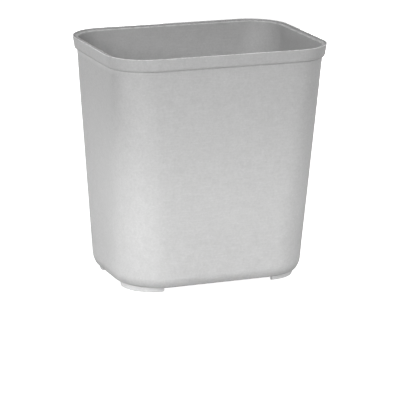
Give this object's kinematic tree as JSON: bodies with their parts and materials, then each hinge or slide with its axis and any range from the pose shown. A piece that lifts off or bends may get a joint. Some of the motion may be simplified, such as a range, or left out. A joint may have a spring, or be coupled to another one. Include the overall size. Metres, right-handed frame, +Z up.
{
  "type": "wastebasket",
  "caption": "Open-topped rectangular wastebasket with rounded corners, tapered walls, a stepped rim collar and low corner feet, in light grey moulded plastic.",
  "frame": {"origin": "on the floor, under the centre of the basket", "axes": "+Z up, +X along the long side towards the basket's right, +Y along the short side from front to back"},
  "size_m": [0.2918, 0.2088, 0.3025],
  "materials": {
    "tub_shell": "moulded fibreglass-filled polyester, fine mottled matte surface",
    "rim": "moulded fibreglass-filled polyester, fine mottled matte surface, edges worn lighter",
    "feet": "moulded fibreglass-filled polyester, scuffed along the floor edge"
  },
  "bodies": {
    "root": {"tub": "tub_shell", "rim_collar": "rim", "foot_front_left": "feet", "foot_front_right": "feet", "foot_rear_left": "feet", "foot_rear_right": "feet"}
  },
  "joints": []
}
